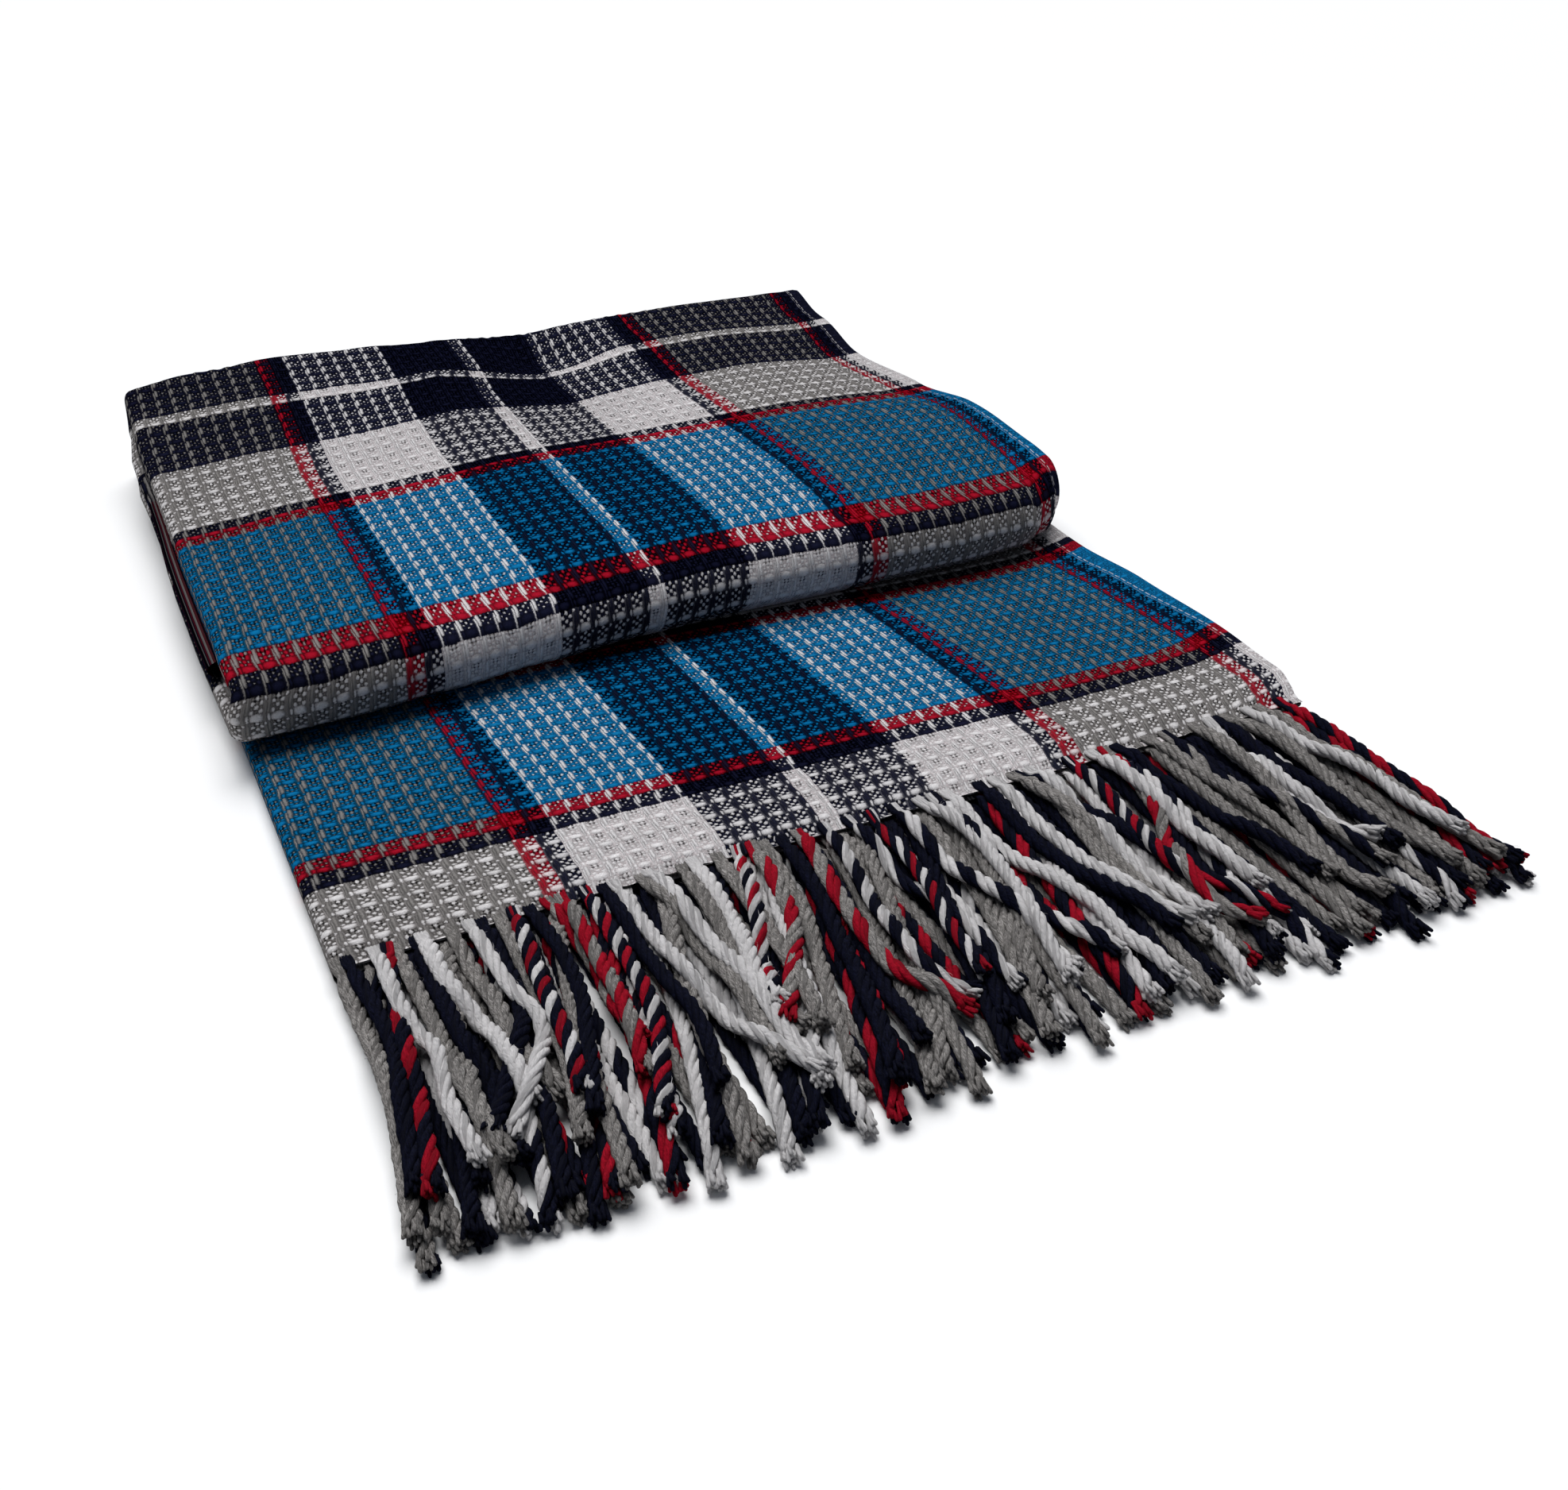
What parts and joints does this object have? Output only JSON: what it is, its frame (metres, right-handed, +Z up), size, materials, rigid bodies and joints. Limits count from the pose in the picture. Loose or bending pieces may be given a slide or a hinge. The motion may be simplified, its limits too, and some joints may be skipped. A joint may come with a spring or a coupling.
{
  "type": "folded fringed plaid blanket",
  "caption": "Plaid waffle-weave blanket folded in four lengthwise, laid back and forth in flat layers, with a twisted fringe at the front end.",
  "frame": {"origin": "middle of the underside of the blanket's bounding box, on the surface it lies on", "axes": "+Z up through the layers, +Y to the rear, away from the fringe, +X across the cloth from the folded edge to the hems"},
  "size_m": [0.3936, 0.6004, 0.0495],
  "materials": {
    "cloth": "soft waffle weave in blue, navy, white, grey and red plaid",
    "fringe_yarn": "soft two-ply twisted yarn in white, grey, navy and red"
  },
  "bodies": {
    "root": {"folded_cloth": "cloth", "fringe_top": "fringe_yarn", "fringe_second": "fringe_yarn", "fringe_third": "fringe_yarn", "fringe_bottom": "fringe_yarn"}
  },
  "joints": []
}
